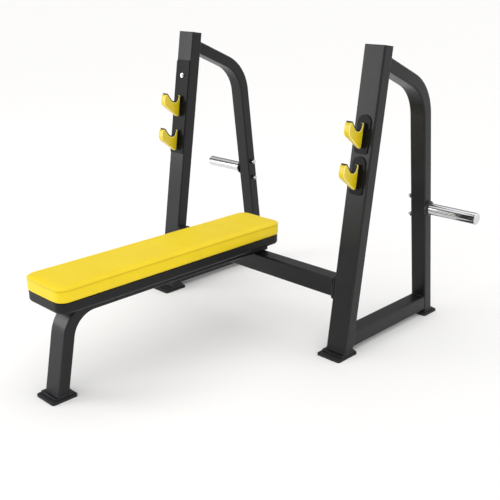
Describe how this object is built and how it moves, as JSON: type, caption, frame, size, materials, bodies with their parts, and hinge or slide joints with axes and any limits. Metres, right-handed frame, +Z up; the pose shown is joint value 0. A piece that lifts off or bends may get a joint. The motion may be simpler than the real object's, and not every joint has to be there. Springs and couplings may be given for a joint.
{
  "type": "olympic bench press",
  "caption": "Flat bench press rack: black steel side frames with yellow bar hooks, chrome plate pegs, a low cross beam and a fixed yellow upholstered bench.",
  "frame": {"origin": "on the floor, in the middle of the object's width and length", "axes": "+X across the rack to the side of the two short backing plates, +Y along the bench towards the head end and the rack, +Z up"},
  "size_m": [1.6, 1.72, 1.2248],
  "materials": {
    "frame_black": "satin fine-texture powder coat, black",
    "backing_black": "smooth satin black paint",
    "collar_black": "satin black",
    "hook_yellow": "smooth moulded yellow coating",
    "liner_rubber": "matt black rubber",
    "sole_rubber": "matt black rubber",
    "pad_vinyl": "yellow vinyl upholstery with a fine grain",
    "shell_black": "moulded black base with a light grain",
    "plug_black": "black moulded tube plug",
    "chrome": "polished chrome plate",
    "bolt_steel": "bright plated steel",
    "anchor_steel": "plain machined steel",
    "board_wood": "plywood"
  },
  "bodies": {
    "root": {"backing_bolt_left": "bolt_steel", "backing_left": "backing_black", "backing_right_lower": "backing_black", "backing_right_upper": "backing_black", "beam_flange_left": "frame_black", "beam_flange_right": "frame_black", "bench_pad": "pad_vinyl", "bench_tube": "frame_black", "bench_tube_plug": "plug_black", "cross_beam": "frame_black", "foot_bench": "frame_black", "foot_rear_left": "frame_black", "foot_rear_right": "frame_black", "foot_upright_left": "frame_black", "foot_upright_right": "frame_black", "hook_left_lower": "hook_yellow", "hook_left_upper": "hook_yellow", "hook_liner_left_lower": "liner_rubber", "hook_liner_left_upper": "liner_rubber", "hook_liner_right_lower": "liner_rubber", "hook_liner_right_upper": "liner_rubber", "hook_right_lower": "hook_yellow", "hook_right_upper": "hook_yellow", "pad_board": "board_wood", "pad_bolts": "bolt_steel", "pad_shell": "shell_black", "pad_tee_nuts": "anchor_steel", "peg_anchor_left": "anchor_steel", "peg_anchor_right": "anchor_steel", "peg_bolts_left": "bolt_steel", "peg_bolts_right": "bolt_steel", "peg_cap_left": "chrome", "peg_cap_right": "chrome", "peg_collar_left": "collar_black", "peg_collar_right": "collar_black", "peg_left": "chrome", "peg_right": "chrome", "peg_spacers_left": "collar_black", "peg_spacers_right": "collar_black", "rear_leg_left": "frame_black", "rear_leg_right": "frame_black", "side_rail_left": "frame_black", "side_rail_right": "frame_black", "sole_bench": "sole_rubber", "sole_rear_left": "sole_rubber", "sole_rear_right": "sole_rubber", "sole_upright_left": "sole_rubber", "sole_upright_right": "sole_rubber", "upright_cap_left": "frame_black", "upright_cap_right": "frame_black", "upright_left": "frame_black", "upright_right": "frame_black"}
  },
  "joints": []
}
